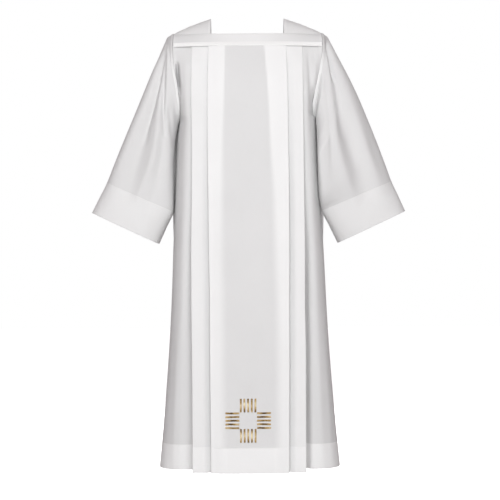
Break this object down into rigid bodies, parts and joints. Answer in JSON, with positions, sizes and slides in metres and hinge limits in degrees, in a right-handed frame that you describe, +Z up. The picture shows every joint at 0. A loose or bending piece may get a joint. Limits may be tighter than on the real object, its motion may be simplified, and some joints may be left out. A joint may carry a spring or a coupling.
{
  "type": "pleated surplice alb robe",
  "caption": "White square-necked alb robe of surplice cut, with a straight yoke, pressed box pleats, wide straight sleeves, deep turned hems and a plain gold bar cross; hollow, as worn.",
  "frame": {"origin": "middle of the neck opening, level with the tops of the shoulders at the neck", "axes": "+Z up; the front of the garment faces -Y; +X towards the wearer's left sleeve"},
  "size_m": [0.9158, 0.4012, 1.306],
  "materials": {
    "cloth": "thin smooth white poly-cotton, slightly sheer, low sheen",
    "seam_cloth": "the same white cloth in several layers, pressed flat and stitched",
    "gold_thread": "old-gold satin stitch with a soft sheen"
  },
  "bodies": {
    "root": {"front": "cloth", "back": "cloth", "shoulder_left": "cloth", "shoulder_right": "cloth", "sleeve_left": "cloth", "sleeve_right": "cloth", "yoke_band_front": "cloth", "yoke_band_back": "cloth", "yoke_strip_front": "seam_cloth", "yoke_strip_back": "seam_cloth", "armhole_band_left": "seam_cloth", "armhole_band_right": "seam_cloth", "cross_bar_01": "gold_thread", "cross_bar_02": "gold_thread", "cross_bar_03": "gold_thread", "cross_bar_04": "gold_thread", "cross_bar_05": "gold_thread", "cross_bar_06": "gold_thread", "cross_bar_07": "gold_thread", "cross_bar_08": "gold_thread", "cross_bar_09": "gold_thread", "cross_bar_10": "gold_thread", "cross_bar_11": "gold_thread", "cross_bar_12": "gold_thread", "cross_bar_13": "gold_thread", "cross_bar_14": "gold_thread", "cross_bar_15": "gold_thread", "cross_bar_16": "gold_thread", "cross_bar_17": "gold_thread", "cross_bar_18": "gold_thread", "cross_bar_19": "gold_thread", "cross_bar_20": "gold_thread"}
  },
  "joints": []
}
